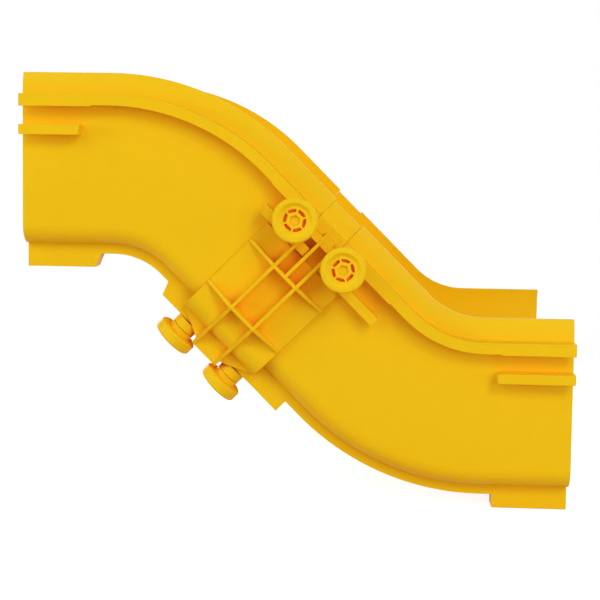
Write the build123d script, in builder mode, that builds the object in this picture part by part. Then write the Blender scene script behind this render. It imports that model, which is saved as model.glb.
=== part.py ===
from build123d import *
import os
from math import cos, radians, sin

# A step-down joint in an open plastic cable raceway. A run coming in from the left is turned
# 45 degrees down by an outside bend, and turned level again by an inside bend. The two bends
# meet half way down the slope in a ribbed coupler, which eight quarter-turn knobs clamp on.
#
# Millimetres, +Z up, +X along the upper run and +Y across it. The origin is the middle of the
# upper open end, on the underside of the channel floor.
#
# In the names below, height is measured square off the underside of the channel floor, and a
# drop that is set for the rails, ribs, arms or knobs is measured down from the top of the wall.
# Front, reach and face are measured out from the outer side of a wall or of the floor.

# Channel section
channel_width = 160.0
wall_height = 112.6
wall = 2.8
floor_corner_radius = 13.0
band_height = 14.3
band_lean = 2.0

# Rail that runs the whole length under the top band, hooked down at its front
rail_reach = 10.0
rail_skin = 2.4
rail_face = 7.3
rail_end_drop = 0.7
rail_end_length = 47.0

# Short second rail at each end, below the long one
second_rail_drop = 34.1
second_rail_face = 6.5
outside_rail_length = 40.0
inside_rail_length = 49.5
rail_end_slant = 1.5
rail_end_round = 1.6

# Keel under the floor, and the deeper slotted foot that it becomes at each end
keel_inset = 13.0
keel_depth = 6.6
keel_thickness = 2.0
foot_width = 13.4
foot_depth = 15.6
outside_foot_length = 51.6
inside_foot_length = 49.0
foot_skin = 2.4
foot_slot_width = 5.6
foot_end_slant = 6.2

# Run of the two bends: their legs on the slope, and the straight stubs of the level ends
bend_angle = 45.0
bend_inner_radius = 50.8
stub_length = 58.0
upper_leg_length = 56.0
lower_leg_length = 61.5
end_gap = 13.7
top_cut_back = 10.5

# Coupler shell, wrapped round both ends
coupler_length = 65.2
coupler_offset = 1.8
coupler_skin = 2.4
coupler_clearance = 0.4
side_plate_drop = 42.4
ledge_drop = 8.5
skirt_end_drop = 9.2
skirt_rib_drop = 19.0
skirt_drop = 23.2

# Coupler ribs
rib = 2.2
rib_front = 14.0
rib_spacing = 19.8
rib_top_drop = 26.6
cross_rib_heights = (16.4, 54.8)
gusset_tip = 1.6

# Coupler bridge between the two channel ends, and the arms that carry the knobs
bridge_bottom_drop = 48.0
bridge_top_drop = 1.4
bridge_clearance = 0.15
block_length = 9.0
block_top_drop = 19.2
block_height = 8.8
arm_top_drop = 22.3
arm_height = 5.6
arm_skin = 2.6
sole_arm_width = 10.0
boss_diameter = 17.0
boss_face = 18.5
sole_boss_lift = 3.6

# Quarter-turn knobs
knob_spacing = 43.5
knob_drop = 26.7
knob_diameter = 28.6
knob_thickness = 7.6
hub_length = 3.8
knob_gap = 0.3
knob_edge = 1.0
dish_rim_diameter = 22.4
dish_floor_diameter = 18.0
dish_depth = 2.0
window_diameter = 14.4
window_hexagon_radius = 5.9
window_depth = 3.2
spoke_width = 1.3
socket_radius = 3.5
socket_depth = 1.6

# Bolts behind the knobs
shank_diameter = 6.0
shank_clearance = 0.05
shank_seat = 5.2
boss_clearance = 0.3
head_clearance = 0.3
hook_width = 8.0
hook_reach = 8.6
hook_swing_radius = 9.2
hook_thickness = 4.0
tee_length = 8.7
tee_width = 4.6
tee_thickness = 3.5
neck_diameter = 4.8

half_width = channel_width / 2
rail_top = wall_height - band_height
rail_bottom = rail_top - rail_face
second_rail_top = wall_height - second_rail_drop
second_rail_bottom = second_rail_top - second_rail_face
rail_front = half_width + rail_reach
keel_face = half_width - keel_inset
foot_centre = keel_face - foot_width / 2
slope = radians(bend_angle)
level = Vector(1, 0, 0)
downhill = Vector(cos(slope), 0, -sin(slope))
across = Vector(0, 1, 0)


def up_from(heading):
    """Direction up the channel for a run with this heading."""
    return heading.cross(across)


def run_points(start, heading, turned, radius, lead, tail):
    """Points along one bend's underside: bend start, bend end and far end."""
    bend_start = start + heading * lead
    side = up_from(heading) if turned.Z > heading.Z else up_from(heading) * -1
    turned_side = up_from(turned) if turned.Z > heading.Z else up_from(turned) * -1
    bend_end = bend_start + side * radius - turned_side * radius
    return bend_start, bend_end, bend_end + turned * tail


def end_plane(point, inward, heading):
    """Plane of an open end: its normal points into the piece, and its Y up the channel."""
    return Plane(origin=point, x_dir=up_from(heading).cross(inward), z_dir=inward)


def upright(low_out, high_out, low, high):
    """Rectangle of a section, given by its sides, on both sides of the middle."""
    with BuildSketch() as pair:
        for side in (-1, 1):
            with Locations((side * (low_out + high_out) / 2, (low + high) / 2)):
                Rectangle(high_out - low_out, high - low)
    return pair.sketch


def hook_rail(top, face):
    """Section of a rail: a shelf out from the wall, and a lip hanging at its front."""
    with BuildSketch() as rail:
        add(upright(half_width - wall / 2, rail_front, top - rail_skin, top))
        add(upright(rail_front - rail_skin, rail_front, top - face, top))
    return rail.sketch


def channel_section():
    """Open channel: floor, rounded corners, upright walls and top bands that lean in."""
    middle = (rail_top + wall_height) / 2
    with BuildSketch() as channel:
        with BuildLine():
            for inset in (0, wall):
                side = half_width - inset
                Polyline((-side, rail_top), (-side, inset), (side, inset), (side, rail_top))
                for way in (-1, 1):
                    ThreePointArc(
                        (way * side, rail_top),
                        (way * (side - band_lean / 4), middle),
                        (way * (side - band_lean), wall_height),
                    )
            for way in (-1, 1):
                top = half_width - band_lean
                Line((way * top, wall_height), (way * (top - wall), wall_height))
        make_face()
        for inset in (0, wall):
            corners = channel.vertices().filter_by(
                lambda v: abs(v.Y - inset) < 1e-3 and abs(v.X) > half_width - 2 * wall
            )
            fillet(corners, floor_corner_radius - inset)
    return channel.sketch


def slant_cutter(plane, out, width, low, high, length, slant):
    """Wedges that slope the inner ends of a pair of rails or feet, shorter at the bottom."""
    with BuildPart() as cutter:
        for side in (-1, 1):
            cheek = Plane(
                origin=plane.from_local_coords((side * out, 0, 0)),
                x_dir=plane.z_dir,
                z_dir=plane.y_dir.cross(plane.z_dir) * -1,
            )
            with BuildSketch(cheek):
                with BuildLine():
                    Polyline(
                        (length, high),
                        (length + slant, high),
                        (length + slant, low - slant),
                        (length - slant * (1 + slant / (high - low)), low - slant),
                        close=True,
                    )
                make_face()
            extrude(amount=width, both=True)
    return cutter.part


def end_rails(plane, length, rounded):
    """Second rails of one end, closed and, if asked, rounded at their inner ends, and the long
    rails' deeper fronts."""
    with BuildPart() as rails:
        with BuildSketch(plane):
            add(hook_rail(second_rail_top, second_rail_face))
        extrude(amount=length)
        with BuildSketch(plane.offset(length - rail_skin)):
            add(upright(half_width - wall / 2, rail_front, second_rail_bottom, second_rail_top))
        extrude(amount=rail_skin)
        if rounded:
            corners = rails.edges().filter_by(Axis(plane.origin, plane.x_dir))
            fillet(corners.sort_by(Axis(plane.origin, plane.z_dir))[-4:], rail_end_round)
        with BuildSketch(plane):
            drop = rail_bottom - rail_end_drop
            add(upright(rail_front - rail_skin, rail_front, drop, rail_bottom + rail_skin))
        extrude(amount=rail_end_length)
    return rails.part


def end_feet(plane, length, closed_length):
    """Slotted feet of one end: two walls, a slotted sole, and a closed stretch at the back."""
    inner_face = keel_face - foot_width
    with BuildPart() as feet:
        with BuildSketch(plane):
            add(upright(inner_face, keel_face, -foot_depth, wall / 2))
            hollow = (inner_face + keel_thickness, keel_face - keel_thickness)
            add(upright(*hollow, foot_skin - foot_depth, wall), mode=Mode.SUBTRACT)
            slot = (foot_centre - foot_slot_width / 2, foot_centre + foot_slot_width / 2)
            add(upright(*slot, -foot_depth - foot_skin, wall), mode=Mode.SUBTRACT)
        extrude(amount=length)
        with BuildSketch(plane.offset(length - closed_length)):
            add(upright(inner_face, keel_face, -foot_depth, wall / 2))
        extrude(amount=closed_length)
    return feet.part


def make_bend(start, heading, turned, radius, legs, rail_length, foot_length, slanted):
    """One raceway bend: the swept channel, and the rails and feet of its two ends. Legs are
    the straight lengths before and after the turn."""
    bend_start, bend_end, end = run_points(start, heading, turned, radius, *legs)
    ends = (end_plane(start, heading, heading), end_plane(end, turned * -1, turned))

    with BuildPart() as bend:
        with BuildLine() as run:
            Line(start, bend_start)
            TangentArc(bend_start, bend_end, tangent=heading)
            Line(bend_end, end)
        with BuildSketch(ends[0]):
            add(channel_section())
            add(hook_rail(rail_top, rail_face))
            add(upright(keel_face - keel_thickness, keel_face, -keel_depth, wall / 2))
        sweep(path=run.wires()[0])

        for plane in ends:
            rails = end_rails(plane, rail_length, not slanted)
            feet = end_feet(plane, foot_length, foot_skin + (foot_end_slant if slanted else 0))
            if slanted:
                reach = (half_width + wall, rail_reach, second_rail_bottom, second_rail_top)
                rails -= slant_cutter(plane, *reach, rail_length, rail_end_slant)
                reach = (keel_face, foot_width + 1, -foot_depth, 0)
                feet -= slant_cutter(plane, *reach, foot_length, foot_end_slant)
            add(rails)
            add(feet)
    return bend.part


os.makedirs("parts", exist_ok=True)

upper_start = Vector(0, 0, 0)
upper_legs = (stub_length, upper_leg_length)
upper_end = run_points(upper_start, level, downhill, bend_inner_radius, *upper_legs)[2]
with BuildPart() as upper_bend:
    add(
        make_bend(
            upper_start,
            level,
            downhill,
            bend_inner_radius,
            upper_legs,
            outside_rail_length,
            outside_foot_length,
            True,
        )
    )
    # Its top bands and rails stop short of its lower end, where the coupler's bridge takes over
    with BuildSketch(end_plane(upper_end, downhill * -1, downhill)):
        with Locations((0, rail_top + band_height)):
            Rectangle(2 * channel_width, 2 * band_height)
        for side in (-1, 1):
            with Locations((side * (half_width + rail_reach), (rail_bottom + rail_top) / 2)):
                Rectangle(2 * rail_reach, rail_face + 2 * rail_end_drop)
    extrude(amount=top_cut_back, mode=Mode.SUBTRACT)
upper_bend.part.label = "upper_bend"
export_step(upper_bend.part, "parts/upper_bend.step")

lower_start = upper_end + downhill * end_gap
lower_bend = make_bend(
    lower_start,
    downhill,
    level,
    bend_inner_radius + wall_height,
    (lower_leg_length, stub_length),
    inside_rail_length,
    inside_foot_length,
    False,
)
lower_bend.label = "lower_bend"
export_step(lower_bend, "parts/lower_bend.step")

# The coupler is drawn in the frame of the slope: X down the slope from the middle between its
# two tall ribs, Y across and Z up off the channel floor. Its near half is drawn and mirrored.
# A section plane has its X out towards the near side, and its Y up.
slope_frame = Plane(
    origin=upper_end + downhill * coupler_offset,
    x_dir=downhill,
    z_dir=up_from(downhill),
)
section = Plane(origin=(0, 0, 0), x_dir=(0, -1, 0), z_dir=(-1, 0, 0))
bridge_start = bridge_clearance - coupler_offset
bridge_end = end_gap - bridge_clearance - coupler_offset
bridge_bottom = wall_height - bridge_bottom_drop
bridge_top = wall_height - bridge_top_drop
block_middle = wall_height - block_top_drop - block_height / 2
arm_middle = wall_height - arm_top_drop - arm_height / 2
knob_height = wall_height - knob_drop
rib_top = wall_height - rib_top_drop
side_plate_top = wall_height - side_plate_drop
plate_inner = half_width + coupler_clearance
plate_outer = plate_inner + coupler_skin
skirt_inner = keel_face + coupler_clearance
skirt_outer = skirt_inner + coupler_skin
ledge_radius = plate_outer - skirt_outer
ledge_height = ledge_radius - ledge_drop
ledge_under = coupler_skin - ledge_drop
pan_edge = keel_face - foot_width - coupler_clearance
pan_middle = coupler_clearance + coupler_skin / 2
arm_back = rail_front + coupler_clearance
sole_top = foot_depth + coupler_clearance
sole_bottom = sole_top + coupler_skin
sole_boss_face = boss_face + sole_boss_lift
knob_places = [(way * knob_spacing / 2, knob_height) for way in (-1, 1)]
sole_knob_places = [(way * knob_spacing / 2, -foot_centre) for way in (-1, 1)]

with BuildPart() as coupler:
    # Side plate, rounded ledge under the floor corner, and skirt in front of the feet
    with BuildSketch(section):
        with BuildLine():
            Polyline(
                (plate_inner, ledge_height),
                (plate_inner, side_plate_top),
                (plate_outer, side_plate_top),
                (plate_outer, ledge_height),
            )
            RadiusArc((plate_outer, ledge_height), (skirt_outer, -ledge_drop), ledge_radius)
            Polyline(
                (skirt_outer, -ledge_drop),
                (skirt_outer, -skirt_drop),
                (skirt_inner, -skirt_drop),
                (skirt_inner, ledge_under),
                (skirt_outer, ledge_under),
            )
            RadiusArc(
                (skirt_outer, ledge_under),
                (plate_inner, ledge_height),
                coupler_skin - ledge_radius,
            )
        make_face()
    extrude(amount=coupler_length / 2, both=True)

    # The skirt's lower edge rises from the tall ribs to the ends of the plate
    with BuildSketch(Plane.XZ.offset(skirt_inner - coupler_skin)):
        for way in (-1, 1):
            rib_side = way * (rib_spacing + rib) / 2
            plate_end = way * coupler_length / 2
            with BuildLine():
                Polyline(
                    (rib_side, -skirt_rib_drop),
                    (plate_end, -skirt_end_drop),
                    (plate_end * 2, -skirt_end_drop),
                    (plate_end * 2, -skirt_drop * 2),
                    (rib_side, -skirt_drop * 2),
                    close=True,
                )
            make_face()
    extrude(amount=3 * coupler_skin, mode=Mode.SUBTRACT)

    # Pan under the channel floor, between the feet
    with BuildSketch(Plane.XY.offset(-coupler_clearance - coupler_skin)):
        with Locations((0, -pan_edge / 2)):
            Rectangle(coupler_length, pan_edge)
    extrude(amount=coupler_skin)

    # Sole between the tall ribs, under both pairs of feet
    with BuildSketch(Plane.XY.offset(-sole_bottom)):
        with Locations((0, -skirt_outer / 2)):
            Rectangle(rib_spacing + rib, skirt_outer)
    extrude(amount=coupler_skin)

    # Tall ribs: down the side, stepped round the second rail, and on across the sole
    root = plate_outer - coupler_skin / 2
    front = half_width + rib_front
    for way in (-1, 1):
        with BuildSketch(section.offset(way * rib_spacing / 2)):
            with BuildLine():
                Polyline(
                    (root, ledge_height),
                    (root, side_plate_top),
                    (arm_back, side_plate_top),
                    (arm_back, rib_top),
                    (front, rib_top),
                    (front, cross_rib_heights[0]),
                    (skirt_outer, -skirt_drop),
                    (0, -skirt_drop),
                    (0, -pan_middle),
                    (pan_edge, -pan_middle),
                    (pan_edge, -sole_top - coupler_skin / 2),
                    (skirt_outer - coupler_skin / 2, -sole_top - coupler_skin / 2),
                    (skirt_outer - coupler_skin / 2, coupler_skin / 2 - ledge_drop),
                    (skirt_outer, coupler_skin / 2 - ledge_drop),
                )
                RadiusArc(
                    (root, ledge_height),
                    (skirt_outer, coupler_skin / 2 - ledge_drop),
                    ledge_radius - coupler_skin / 2,
                )
            make_face()
        extrude(amount=rib / 2, both=True)

    # Cross ribs, at full depth between the tall ribs and tapered beyond them
    for height in cross_rib_heights:
        with BuildSketch(Plane.XY.offset(height - rib / 2)):
            with BuildLine():
                Polyline(
                    (-coupler_length / 2, -root),
                    (-coupler_length / 2, -plate_outer - gusset_tip),
                    (-rib_spacing / 2, -front),
                    (rib_spacing / 2, -front),
                    (coupler_length / 2, -plate_outer - gusset_tip),
                    (coupler_length / 2, -root),
                    close=True,
                )
            make_face()
        extrude(amount=rib)

    # Post between the tall ribs, from the upper cross rib to the block
    with BuildSketch(Plane.XZ.offset(root)):
        post_bottom = cross_rib_heights[-1]
        with Locations((0, (post_bottom + block_middle) / 2)):
            Rectangle(rib, block_middle - post_bottom)
    extrude(amount=front - root)

    # Bridge that fills the gap between the two channel walls, and the longer one above it
    # that fills the gap between their bands and rails
    bridge_top_start = bridge_start - top_cut_back
    for low, start in ((bridge_bottom, bridge_start), (rail_top, bridge_top_start)):
        with BuildSketch(section.offset(-bridge_end)):
            add(channel_section())
            with Locations((half_width, (low + bridge_top) / 2)):
                Rectangle(4 * wall, bridge_top - low, mode=Mode.INTERSECT)
        extrude(amount=bridge_end - start)
    bridge_under = rail_bottom - rail_end_drop
    with BuildSketch(Plane.XZ.offset(half_width)):
        middle = ((bridge_top_start + bridge_end) / 2, (bridge_under + rail_top) / 2)
        with Locations(middle):
            Rectangle(bridge_end - bridge_top_start, rail_top - bridge_under)
    extrude(amount=rail_reach)
    with BuildSketch(section.offset(-bridge_end)):
        with BuildLine():
            Polyline(
                (half_width - wall / 2, rail_top),
                (half_width + wall, rail_top),
                (half_width - wall / 2, rail_top + 3 * wall / 2),
                close=True,
            )
        make_face()
    extrude(amount=bridge_end - bridge_top_start)

    # Block between the rail ends, and the arm that it carries in front of the rails
    with BuildSketch(Plane.XZ.offset(half_width - wall / 2)):
        with Locations((bridge_start + block_length / 2, block_middle)):
            Rectangle(block_length, block_height)
    extrude(amount=arm_back + arm_skin - half_width + wall / 2)
    with BuildSketch(Plane.XZ.offset(arm_back)):
        with Locations((0, arm_middle)):
            Rectangle(knob_spacing, arm_height)
    extrude(amount=arm_skin)
    with BuildSketch(Plane.XZ.offset(arm_back)):
        with Locations(*knob_places):
            Circle(boss_diameter / 2)
    extrude(amount=half_width + boss_face - arm_back)

    # The same under the sole
    with BuildSketch(Plane.XY.offset(-sole_bottom)):
        with Locations((0, -foot_centre)):
            Rectangle(knob_spacing, sole_arm_width)
    extrude(amount=coupler_skin)
    with BuildSketch(Plane.XY.offset(-sole_boss_face)):
        with Locations(*sole_knob_places):
            Circle(boss_diameter / 2)
    extrude(amount=sole_boss_face - sole_top)

    # Holes for the shanks
    with BuildSketch(Plane.XZ.offset(arm_back)):
        with Locations(*knob_places):
            Circle(shank_diameter / 2 + boss_clearance)
    extrude(amount=half_width + boss_face - arm_back, mode=Mode.SUBTRACT)
    with BuildSketch(Plane.XY.offset(-sole_boss_face)):
        with Locations(*sole_knob_places):
            Circle(shank_diameter / 2 + boss_clearance)
    extrude(amount=sole_boss_face - sole_top, mode=Mode.SUBTRACT)

    mirror(about=Plane.XZ)
coupler.part.locate(slope_frame.location)
coupler.part.label = "coupler"
export_step(coupler.part, "parts/coupler.step")

# A knob and its bolt are drawn on an axis. Z is measured out from the wall, or from as far
# below the floor as the bosses under the sole are lifted further out.
hub_bottom = boss_face + knob_gap
cap_bottom = hub_bottom + hub_length
cap_top = cap_bottom + knob_thickness
dish_floor = cap_top - dish_depth
shank_top = hub_bottom + shank_seat - knob_gap

with BuildPart() as knob:
    with BuildSketch(Plane.XZ):
        with BuildLine():
            Polyline(
                (0, hub_bottom),
                (boss_diameter / 2, hub_bottom),
                (boss_diameter / 2, cap_bottom),
                (knob_diameter / 2, cap_bottom),
                (knob_diameter / 2, cap_top),
                (dish_rim_diameter / 2, cap_top),
                (dish_floor_diameter / 2, dish_floor),
                (0, dish_floor),
                close=True,
            )
        make_face()
    revolve(axis=Axis.Z)
    rim = knob.edges().filter_by(GeomType.CIRCLE).sort_by(SortBy.RADIUS)[-2:]
    chamfer(rim, knob_edge)

    with BuildSketch(Plane.XY.offset(dish_floor)):
        Circle(window_diameter / 2)
        RegularPolygon(window_hexagon_radius, 6, mode=Mode.SUBTRACT)
        with PolarLocations(0, 3):
            Rectangle(window_diameter, spoke_width, mode=Mode.SUBTRACT)
    extrude(amount=-window_depth, mode=Mode.SUBTRACT)

    with BuildSketch(Plane.XY.offset(dish_floor)):
        RegularPolygon(socket_radius, 6)
    extrude(amount=-socket_depth, mode=Mode.SUBTRACT)

    with BuildSketch(Plane.XY.offset(hub_bottom)):
        Circle(shank_diameter / 2 + shank_clearance)
    extrude(amount=shank_seat, mode=Mode.SUBTRACT)

hook_face = rail_reach - rail_skin - head_clearance
with BuildPart() as hook_bolt:
    with BuildSketch(Plane.XY.offset(hook_face - hook_thickness)):
        with Locations((0, (hook_reach - hook_width / 2) / 2)):
            Rectangle(hook_width, hook_reach + hook_width / 2)
        Circle(hook_swing_radius, mode=Mode.INTERSECT)
    extrude(amount=hook_thickness)
    with BuildSketch(Plane.XY.offset(hook_face - hook_thickness)):
        Circle(shank_diameter / 2)
    extrude(amount=shank_top - hook_face + hook_thickness)

tee_face = foot_depth - foot_skin - head_clearance - sole_boss_lift
neck_top = foot_depth + coupler_clearance / 2 - sole_boss_lift
with BuildPart() as tee_bolt:
    with BuildSketch(Plane.XY.offset(tee_face - tee_thickness)):
        Rectangle(tee_width, tee_length + tee_width)
        Circle(tee_length / 2, mode=Mode.INTERSECT)
    extrude(amount=tee_thickness)
    with BuildSketch(Plane.XY.offset(tee_face)):
        Circle(neck_diameter / 2)
    extrude(amount=neck_top - tee_face)
    with BuildSketch(Plane.XY.offset(neck_top)):
        Circle(shank_diameter / 2)
    extrude(amount=shank_top - neck_top)

# Seats of the eight knobs. Each seat's Z points out, and its Y is where a locked bolt's head
# points: up the wall for the side bolts, and across the channel for those under the floor.
up_slope = up_from(downhill)
seats = {}
for side_name, side in (("near", -1), ("far", 1)):
    for place_name, way in (("upper", -1), ("lower", 1)):
        along = way * knob_spacing / 2
        side_seat = Plane(
            origin=slope_frame.from_local_coords((along, side * half_width, knob_height)),
            x_dir=up_slope.cross(across * side),
            z_dir=across * side,
        )
        sole_seat = Plane(
            origin=slope_frame.from_local_coords((along, side * foot_centre, -sole_boss_lift)),
            x_dir=(across * side).cross(up_slope * -1),
            z_dir=up_slope * -1,
        )
        seats[f"side_{side_name}_{place_name}"] = (side_seat, hook_bolt, way)
        seats[f"sole_{side_name}_{place_name}"] = (sole_seat, tee_bolt, way)

half_sector = 30.0
for name, (seat, bolt, way) in seats.items():
    placed_knob = knob.part.moved(seat.location * Rotation(0, 0, half_sector if way > 0 else 0))
    placed_knob.label = f"{name}_knob"
    export_step(placed_knob, f"parts/{name}_knob.step")
    placed_bolt = bolt.part.moved(seat.location)
    placed_bolt.label = f"{name}_bolt"
    export_step(placed_bolt, f"parts/{name}_bolt.step")
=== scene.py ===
"""Looks of a step-down fitting for an open plastic cable raceway.

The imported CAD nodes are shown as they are, each in a procedural moulded plastic finish.
Metres, +Z up, +X along the upper run and +Y away from the camera.
"""

import logging
import math
from dataclasses import dataclass
from enum import Enum
from typing import Any, Union

import bpy
from mathutils import Euler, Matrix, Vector


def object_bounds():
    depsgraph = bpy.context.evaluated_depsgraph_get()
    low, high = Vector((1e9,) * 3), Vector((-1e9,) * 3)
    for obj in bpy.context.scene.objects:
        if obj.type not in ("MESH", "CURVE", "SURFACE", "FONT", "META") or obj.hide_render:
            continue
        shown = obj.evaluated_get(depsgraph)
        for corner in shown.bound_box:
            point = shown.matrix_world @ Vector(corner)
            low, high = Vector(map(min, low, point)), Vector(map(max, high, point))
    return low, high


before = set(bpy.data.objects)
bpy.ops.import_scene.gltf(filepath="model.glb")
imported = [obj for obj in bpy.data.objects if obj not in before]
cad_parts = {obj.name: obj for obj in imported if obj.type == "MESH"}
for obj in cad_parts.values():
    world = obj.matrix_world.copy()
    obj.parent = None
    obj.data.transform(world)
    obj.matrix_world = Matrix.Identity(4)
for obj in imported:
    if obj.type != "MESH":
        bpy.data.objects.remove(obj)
cad_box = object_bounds()

log = logging.getLogger("raceway")
logging.basicConfig(level=logging.INFO, format="%(message)s")

Colour = tuple[float, float, float]
Point = tuple[float, float, float]
Step = tuple[float, float]
Value = Union[float, "Wire"]

MIDDLE = tuple((cad_box[0] + cad_box[1]) / 2)
UNDERSIDE = cad_box[0].z
WHITE = (1.0, 1.0, 1.0)
LIGHT_COLOUR = (0.86, 1.0, 1.0)


class Side(Enum):
    """The two sides of the channel that knobs stand on."""

    NEAR = "near"
    FAR = "far"


class Face(Enum):
    """What a fastener is clamped to: a rail at the side, or a foot under the sole."""

    SIDE = "side"
    SOLE = "sole"


class End(Enum):
    """Which end of the coupler a fastener is at."""

    UPPER = "upper"
    LOWER = "lower"


class Wire:
    """A shader socket or a number, on which sums are written as Python expressions."""

    def __init__(self, shader: "Shader", source: Any) -> None:
        """Wraps an output socket or a number of the shader that takes the Math nodes."""
        self.shader = shader
        self.source = source

    def _math(self, operation: str, *values: Value) -> "Wire":
        """Adds one Math node.

        Args:
            operation: The Math node's operation.
            values: Its inputs, in order.

        Returns:
            The node's output.
        """
        return self.shader.node(
            "ShaderNodeMath", {"operation": operation}, dict(enumerate(values))
        )

    def __add__(self, other: Value) -> "Wire":
        """Sum."""
        return self._math("ADD", self, other)

    __radd__ = __add__

    def __sub__(self, other: Value) -> "Wire":
        """Difference."""
        return self._math("SUBTRACT", self, other)

    def __rsub__(self, other: Value) -> "Wire":
        """Difference from a number."""
        return self._math("SUBTRACT", other, self)

    def __mul__(self, other: Value) -> "Wire":
        """Product."""
        return self._math("MULTIPLY", self, other)

    __rmul__ = __mul__

    def ramp(self, low: float, high: float) -> "Wire":
        """Smooth step from 0 at low to 1 at high.

        Args:
            low: Where the step starts.
            high: Where it ends.

        Returns:
            The stepped value.
        """
        return self.shader.node(
            "ShaderNodeMapRange",
            {"interpolation_type": "SMOOTHSTEP"},
            {"Value": self, "From Min": low, "From Max": high},
        )


class Shader:
    """A node tree, written as calls."""

    def __init__(self, tree: bpy.types.NodeTree) -> None:
        """Empties the tree that the calls fill."""
        self.tree = tree
        self.tree.nodes.clear()

    def node(
        self,
        kind: str,
        settings: dict[str, Any],
        inputs: dict[Union[int, str], Any],
        output: Union[int, str, None] = 0,
    ) -> Wire:
        """Adds a node.

        Args:
            kind: The node's type.
            settings: Properties, which are set first.
            inputs: Values or links, by the socket's name or number.
            output: The socket that is returned, or None for a node without outputs.

        Returns:
            The chosen output.
        """
        made = self.tree.nodes.new(kind)
        for key, value in settings.items():
            setattr(made, key, value)
        for key, value in inputs.items():
            self.connect(made.inputs[key], value)
        return Wire(self, None if output is None else made.outputs[output])

    def connect(self, socket: bpy.types.NodeSocket, value: Any) -> None:
        """Sets an input from a number, a colour or a wire.

        Args:
            socket: The input.
            value: What feeds it.
        """
        if isinstance(value, Wire):
            value = value.source
        if isinstance(value, bpy.types.NodeSocket):
            self.tree.links.new(value, socket)
        elif isinstance(value, tuple) and len(value) == 3 and socket.type == "RGBA":
            socket.default_value = (*value, 1.0)
        else:
            socket.default_value = value

    def position(self) -> Wire:
        """Place on the piece, in metres."""
        return self.node("ShaderNodeTexCoord", {}, {}, "Object")

    def noise(self, size: float, detail: float, squeeze: Point = (1, 1, 1)) -> Wire:
        """Adds noise of a given patch size.

        Args:
            size: The width of its patches, in metres.
            detail: Octaves.
            squeeze: How much narrower its patches are along each axis.

        Returns:
            A value about 0.5.
        """
        place = self.node(
            "ShaderNodeMapping", {}, {"Vector": self.position(), "Scale": squeeze}
        )
        inputs = {"Vector": place, "Scale": 1 / size, "Detail": detail}
        return self.node("ShaderNodeTexNoise", {}, inputs, "Fac")

    def mix(self, share: Value, low: Any, high: Any) -> Wire:
        """Mixes two colours.

        Args:
            share: How much of the second.
            low: The first colour.
            high: The second colour.

        Returns:
            The mixed colour.
        """
        made = self.tree.nodes.new("ShaderNodeMix")
        made.data_type = "RGBA"
        sockets = [socket for socket in made.inputs if socket.enabled]
        for socket, value in zip(sockets, (share, low, high)):
            self.connect(socket, value)
        return Wire(self, next(socket for socket in made.outputs if socket.enabled))

    def looked_at(self) -> Wire:
        """1 for what the camera, gloss and glass show, and 0 for light on the object.

        Returns:
            The mask.
        """
        rays = [
            self.node("ShaderNodeLightPath", {}, {}, name)
            for name in ("Is Camera Ray", "Is Glossy Ray", "Is Transmission Ray")
        ]
        return (rays[0] + rays[1] + rays[2]).ramp(0.0, 1.0)

    def finish(self, surface: Wire, kind: str = "ShaderNodeOutputMaterial") -> None:
        """Closes the tree with an output node of this type, which shows the surface."""
        self.node(kind, {}, {"Surface": surface}, None)


def new_material(name: str) -> tuple[bpy.types.Material, Shader]:
    """Starts a material.

    Args:
        name: Its name.

    Returns:
        The material, and its empty tree.
    """
    material = bpy.data.materials.new(name)
    material.use_nodes = True
    return material, Shader(material.node_tree)


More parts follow.
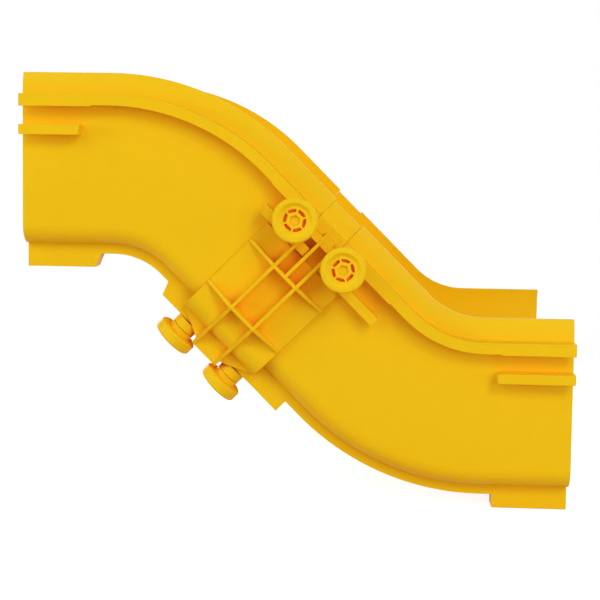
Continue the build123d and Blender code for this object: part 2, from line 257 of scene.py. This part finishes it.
@dataclass(frozen=True)
class MouldedPlastic:
    """Injection-moulded ABS: a drifting pigment, a fine spark-eroded grain and rounded edges.

    Sizes, reaches, radii and heights are in metres. A step holds the two levels of a pattern
    between which it fades in. The swing, scuffs and edge are added to the roughness.
    """

    name: str
    colour: Colour
    deep_colour: Colour
    # Paler colour for the random specks, and for the edges as a painted highlight.
    highlight_and_speck_colour: Colour

    flow_size: float = 0.12
    flow_squeeze: Point = (1, 0.6, 1.4)
    flow_step: Step = (0.35, 0.65)
    flow_share: float = 0.48
    mottle_size: float = 0.009
    mottle_step: Step = (0.3, 0.7)
    mottle_share: float = 0.32
    speck_size: float = 0.0027
    speck_step: Step = (0.7, 0.8)
    speck_share: float = 0.25

    edge_radius: float = 0.0005
    edge_samples: int = 4
    edge_step: Step = (0.01, 0.12)
    edge_share: float = 0.35
    # Painted shade: a redder colour is mixed into the pigment where ambient occlusion finds
    # tight corners.
    painted_shade_colour: Colour = (0.75, 0.08, 0.03)
    painted_shade_reach: float = 0.008
    painted_shade_samples: int = 8
    painted_shade_step: Step = (0.35, 0.95)
    painted_shade_share: float = 0.55

    roughness: float = 0.36
    roughness_swing: float = 0.16
    scuff_size: float = 0.004
    scuff_squeeze: Point = (0.18, 1, 1)
    scuff_step: Step = (0.62, 0.74)
    scuff_roughness: float = 0.12
    edge_roughness: float = 0.1
    refraction: float = 1.53
    specular: float = 0.05
    gloss: float = 0.05
    gloss_roughness: float = 0.3

    grain_size: float = 0.0006
    grain_height: float = 0.000006
    ripple_size: float = 0.03
    ripple_height: float = 0.00002

    def make(self) -> bpy.types.Material:
        """Builds the material.

        Returns:
            The finished material.
        """
        material, shader = new_material(self.name)
        mottle = shader.noise(self.mottle_size, 3.0)
        smooth = shader.node(
            "ShaderNodeBevel", {"samples": self.edge_samples}, {"Radius": self.edge_radius}
        )
        edge = self._edge(shader, smooth)
        scuff = shader.noise(self.scuff_size, 4.0, self.scuff_squeeze).ramp(*self.scuff_step)
        roughness = (
            (mottle - 0.5) * self.roughness_swing
            + scuff * self.scuff_roughness
            + edge * self.edge_roughness
            + self.roughness
        )
        plastic = shader.node(
            "ShaderNodeBsdfPrincipled",
            {},
            {
                "Base Color": self._pigment(shader, mottle, edge),
                "Roughness": roughness,
                "Specular IOR Level": self.specular,
                "IOR": self.refraction,
                "Coat Weight": self.gloss,
                "Coat Roughness": self.gloss_roughness,
                "Normal": self._relief(shader, smooth),
            },
        )
        shader.finish(plastic)
        return material

    def _edge(self, shader: Shader, smooth: Wire) -> Wire:
        """Finds the moulding's edges, where the rounded normal leaves the flat one.

        Args:
            shader: The tree.
            smooth: The normal with rounded edges.

        Returns:
            How much an edge shows.
        """
        flat = shader.node("ShaderNodeNewGeometry", {}, {}, "Normal")
        agreement = shader.node(
            "ShaderNodeVectorMath", {"operation": "DOT_PRODUCT"}, {0: smooth, 1: flat}, "Value"
        )
        return (1 - agreement).ramp(*self.edge_step) * self.edge_share

    def _pigment(self, shader: Shader, mottle: Wire, edge: Wire) -> Wire:
        """Colours the plastic: paler specks, paler edges as a painted highlight, and redder
        tight corners as painted shade.

        Args:
            shader: The tree.
            mottle: The small patches' noise.
            edge: How much an edge shows.

        Returns:
            The base colour.
        """
        flow = shader.noise(self.flow_size, 1.0, self.flow_squeeze)
        depth = (
            flow.ramp(*self.flow_step) * self.flow_share
            + mottle.ramp(*self.mottle_step) * self.mottle_share
        )
        body = shader.mix(depth, self.colour, self.deep_colour)
        # Painted highlight: edges are mixed towards the paler colour.
        edge_highlighted = shader.mix(edge, body, self.highlight_and_speck_colour)
        speck = shader.noise(self.speck_size, 2.0).ramp(*self.speck_step)
        flecked = shader.mix(speck * self.speck_share, edge_highlighted, self.highlight_and_speck_colour)
        # Painted shade: tight corners, found by ambient occlusion, are mixed towards a redder
        # colour.
        openness = shader.node(
            "ShaderNodeAmbientOcclusion",
            {"samples": self.painted_shade_samples},
            {"Distance": self.painted_shade_reach},
            "AO",
        )
        painted_shade = (1 - openness).ramp(*self.painted_shade_step) * self.painted_shade_share
        return shader.mix(painted_shade, flecked, self.painted_shade_colour)

    def _relief(self, shader: Shader, smooth: Wire) -> Wire:
        """Adds the mould's grain and the wall's slight ripple.

        Args:
            shader: The tree.
            smooth: The normal with rounded edges.

        Returns:
            The bumped normal.
        """
        grain = shader.noise(self.grain_size, 2.0)
        ripple = shader.noise(self.ripple_size, 1.0)
        height = (grain - 0.5) * self.grain_height + (ripple - 0.5) * self.ripple_height
        inputs = {"Strength": 1.0, "Distance": 1.0, "Height": height, "Normal": smooth}
        return shader.node("ShaderNodeBump", {}, inputs)


def srgb(red: int, green: int, blue: int) -> Colour:
    """Turns a display colour into the shader's linear one, by the standard display curve.

    Args:
        red: 0 to 255.
        green: 0 to 255.
        blue: 0 to 255.

    Returns:
        The linear colour.
    """
    levels = (value / 255 for value in (red, green, blue))
    return tuple(
        level / 12.92 if level <= 0.04045 else ((level + 0.055) / 1.055) ** 2.4
        for level in levels
    )


CHANNEL_FINISH = MouldedPlastic(
    name="channel_plastic",
    colour=srgb(253, 196, 20),
    deep_colour=srgb(251, 193, 19),
    highlight_and_speck_colour=srgb(254, 212, 40),
)
COUPLER_FINISH = MouldedPlastic(
    name="coupler_plastic",
    colour=srgb(253, 196, 20),
    deep_colour=srgb(252, 193, 19),
    highlight_and_speck_colour=srgb(254, 214, 40),
    flow_size=0.06,
    roughness=0.4,
)
KNOB_FINISH = MouldedPlastic(
    name="knob_plastic",
    colour=srgb(253, 199, 22),
    deep_colour=srgb(252, 196, 21),
    highlight_and_speck_colour=srgb(254, 218, 50),
    flow_size=0.02,
    # Painted shade: a strong red is mixed in where the knob's windows and socket close in.
    painted_shade_colour=(0.98, 0.15, 0.04),
    painted_shade_reach=0.004,
    painted_shade_share=0.85,
    roughness=0.38,
)
BOLT_FINISH = MouldedPlastic(
    name="bolt_plastic",
    colour=srgb(246, 190, 20),
    deep_colour=srgb(242, 185, 18),
    highlight_and_speck_colour=srgb(250, 206, 40),
    flow_size=0.015,
    roughness=0.5,
)


def dress(node: str, material: bpy.types.Material) -> None:
    """Gives a CAD node its finish.

    Args:
        node: The node's name.
        material: The finish, for all its faces.
    """
    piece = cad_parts[node]
    for material_slot in piece.material_slots:
        material_slot.material = material
    log.info("%s is dressed in %s", node, material.name)


@dataclass(frozen=True)
class Raceway:
    """The fixed part: two bends and the coupler between them."""

    bends: tuple[str, ...] = ("upper_bend", "lower_bend")
    coupler: str = "coupler"

    def build(self) -> None:
        """Dresses the three mouldings."""
        channel_plastic = CHANNEL_FINISH.make()
        for bend in self.bends:
            dress(bend, channel_plastic)
        dress(self.coupler, COUPLER_FINISH.make())


@dataclass(frozen=True)
class Fastener:
    """One quarter-turn knob, with the bolt behind it."""

    face: Face
    side: Side
    end: End

    @property
    def name(self) -> str:
        """What its two nodes' names start with."""
        return f"{self.face.value}_{self.side.value}_{self.end.value}"

    def build(self, knob_plastic: bpy.types.Material, bolt_plastic: bpy.types.Material) -> None:
        """Dresses the knob and the bolt, each in its own finish."""
        dress(f"{self.name}_knob", knob_plastic)
        dress(f"{self.name}_bolt", bolt_plastic)


@dataclass(frozen=True)
class Fasteners:
    """The eight quarter-turn knobs with their bolts."""

    each: tuple[Fastener, ...] = tuple(
        Fastener(face, side, end) for face in Face for side in Side for end in End
    )

    def build(self) -> None:
        """Dresses every knob and bolt."""
        knob_plastic = KNOB_FINISH.make()
        bolt_plastic = BOLT_FINISH.make()
        for fastener in self.each:
            fastener.build(knob_plastic, bolt_plastic)


@dataclass(frozen=True)
class Camera:
    """The camera that took the photograph, with its turn in degrees."""

    focal_length: float = 69.05
    sensor: float = 36.0
    shift: tuple[float, float] = (0.0, -0.14)
    clip: tuple[float, float] = (0.01, 50.0)
    place: Point = (0.21935, -0.82346, 0.06853)
    turn: Point = (86.384, -0.774, 2.92)

    def build(self) -> None:
        """Places the camera."""
        data = bpy.data.cameras.new("camera")
        data.sensor_width = self.sensor
        data.lens = self.focal_length
        data.shift_x, data.shift_y = self.shift
        data.clip_start, data.clip_end = self.clip
        camera = bpy.data.objects.new("camera", data)
        camera.location = self.place
        camera.rotation_euler = Euler([math.radians(turn) for turn in self.turn])
        bpy.context.scene.collection.objects.link(camera)
        bpy.context.scene.camera = camera


@dataclass(frozen=True)
class Floor:
    """Pale floor just under the lowest foot. It fades to white away from the object."""

    size: float = 12.0
    gap: float = 0.0005
    glow: float = 0.86
    paper: Colour = (0.5, 0.5, 0.5)
    bounce: Colour = (0.7, 0.54, 0.4)
    fade: Step = (0.3, 0.6)

    def build(self) -> None:
        """Lays the floor."""
        bpy.ops.object.select_all(action="DESELECT")
        bpy.ops.mesh.primitive_plane_add(
            size=self.size, location=(0, 0, UNDERSIDE - self.gap)
        )
        floor = bpy.context.object
        floor.name = "floor"
        bpy.ops.object.transform_apply(location=True)
        floor.data.materials.append(self._material())

    def _material(self) -> bpy.types.Material:
        """Builds paper that keeps the object's shadow and throws a warmer light back at it.

        Returns:
            The finished material.
        """
        material, shader = new_material("pale_floor")
        bounced = shader.node("ShaderNodeBsdfDiffuse", {}, {"Color": self.bounce})
        lit = shader.node("ShaderNodeBsdfDiffuse", {}, {"Color": self.paper})
        glow = shader.node("ShaderNodeEmission", {}, {"Strength": self.glow})
        near = shader.node("ShaderNodeAddShader", {}, {0: lit, 1: glow})
        white = shader.node("ShaderNodeEmission", {}, {"Strength": 1.0})
        away = shader.node(
            "ShaderNodeVectorMath",
            {"operation": "DISTANCE"},
            {0: shader.position(), 1: (MIDDLE[0], MIDDLE[1], UNDERSIDE)},
            "Value",
        ).ramp(*self.fade)
        sweep = shader.node("ShaderNodeMixShader", {}, {0: away, 1: near, 2: white})
        shown = shader.looked_at()
        mixed = shader.node("ShaderNodeMixShader", {}, {0: shown, 1: bounced, 2: sweep})
        shader.finish(mixed)
        return material


@dataclass(frozen=True)
class Surroundings:
    """A white room to look at, and a softer one as a light."""

    ambient: float = 0.32

    def build(self) -> None:
        """Sets up the world."""
        world = bpy.data.worlds.new("studio")
        world.use_nodes = True
        bpy.context.scene.world = world
        shader = Shader(world.node_tree)
        lit = tuple(level * self.ambient for level in LIGHT_COLOUR)
        colour = shader.mix(shader.looked_at(), lit, WHITE)
        glow = shader.node("ShaderNodeBackground", {}, {"Color": colour})
        shader.finish(glow, "ShaderNodeOutputWorld")


@dataclass(frozen=True)
class Lamp:
    """One square soft box, turned to the object's middle.

    It stands at a distance from a point a little below that middle. Its turn is 0 degrees on
    the camera's side and positive to the right, and its rise is the degrees above level.
    """

    name: str
    turn: float
    rise: float
    size: float
    power: float
    away: float = 1.6
    drop: float = 0.028

    @property
    def place(self) -> Vector:
        """Where it stands."""
        turn, rise = math.radians(self.turn), math.radians(self.rise)
        level = self.away * math.cos(rise)
        height = self.away * math.sin(rise) - self.drop
        return Vector(MIDDLE) + Vector((level * math.sin(turn), -level * math.cos(turn), height))

    def build(self) -> None:
        """Adds the lamp."""
        light = bpy.data.lights.new(self.name, "AREA")
        light.size = self.size
        light.energy = self.power
        light.color = LIGHT_COLOUR
        lamp = bpy.data.objects.new(self.name, light)
        lamp.location = self.place
        aim = Vector(MIDDLE) - self.place
        lamp.rotation_euler = aim.to_track_quat("-Z", "Y").to_euler()
        bpy.context.scene.collection.objects.link(lamp)


LAMPS = (
    Lamp("right", turn=30, rise=10, size=0.45, power=4.1),
    Lamp("right_high", turn=30, rise=34, size=0.5, power=6.4),
    Lamp("right_side", turn=65, rise=10, size=0.45, power=1.6),
    Lamp("left_high", turn=-30, rise=34, size=0.5, power=2.7),
    Lamp("left_side", turn=-65, rise=10, size=0.45, power=4.7),
    Lamp("left_side_high", turn=-65, rise=34, size=0.5, power=2.3),
    Lamp("back", turn=180, rise=45, size=0.6, power=3.0),
    Lamp("back_left", turn=-145, rise=14, size=0.6, power=6.0, away=1.65),
    Lamp("back_right", turn=145, rise=14, size=0.6, power=6.0, away=1.65),
)


@dataclass(frozen=True)
class Studio:
    """The camera, the floor, the white room and the soft boxes."""

    camera: Camera = Camera()
    floor: Floor = Floor()
    surroundings: Surroundings = Surroundings()
    lamps: tuple[Lamp, ...] = LAMPS
    bounces: int = 12

    def build(self) -> None:
        """Sets up the whole studio."""
        for item in (self.camera, self.floor, self.surroundings, *self.lamps):
            item.build()
        scene = bpy.context.scene
        scene.view_settings.view_transform = "Standard"
        scene.cycles.max_bounces = self.bounces
        scene.cycles.diffuse_bounces = self.bounces


def main() -> None:
    """Builds the fitting and its studio."""
    bpy.ops.object.select_all(action="DESELECT")
    Raceway().build()
    Fasteners().build()
    Studio().build()


if __name__ == "__main__":
    main()
